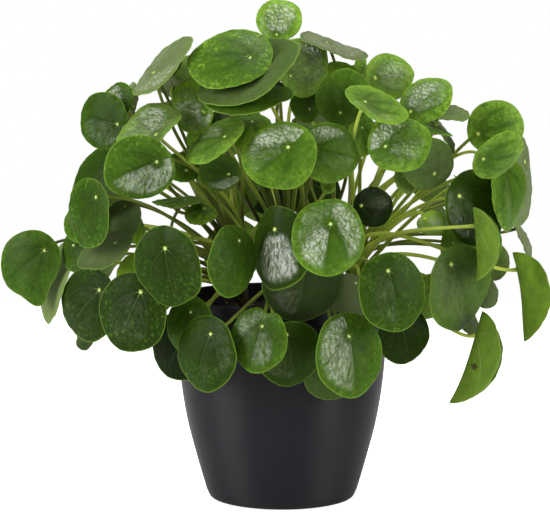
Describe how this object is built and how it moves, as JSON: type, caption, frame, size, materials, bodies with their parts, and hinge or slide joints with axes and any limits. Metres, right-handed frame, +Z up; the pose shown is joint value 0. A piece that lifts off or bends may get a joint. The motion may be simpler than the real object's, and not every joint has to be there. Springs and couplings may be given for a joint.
{
  "type": "potted chinese money plant",
  "caption": "Round-leaved house plant on thin petioles, in a tapered matte anthracite pot that stands on its flat base.",
  "frame": {"origin": "centre of the pot's underside, on the surface it stands on", "axes": "+Z up; the viewer stands on the -Y side and +X is to the viewer's right"},
  "size_m": [0.5137, 0.3929, 0.4743],
  "materials": {
    "pot_plastic": "plain satin anthracite with a faint cool tint",
    "potting_soil": "dark crumbly peat and bark potting mix",
    "leaf": "fleshy round leaf, satin green above with light speckles and a yellow-green eye, matte below",
    "petiole": "smooth yellow-green leaf stalk",
    "woody_stem": "brown scarred stem"
  },
  "bodies": {
    "root": {"pot": "pot_plastic", "soil": "potting_soil", "leafy_stem_front": "leaf", "leafy_stem_left": "leaf", "leafy_stem_right": "leaf", "leafy_stem_middle": "leaf", "leafy_stem_back_left": "leaf", "leafy_stem_back_right": "leaf"}
  },
  "joints": []
}
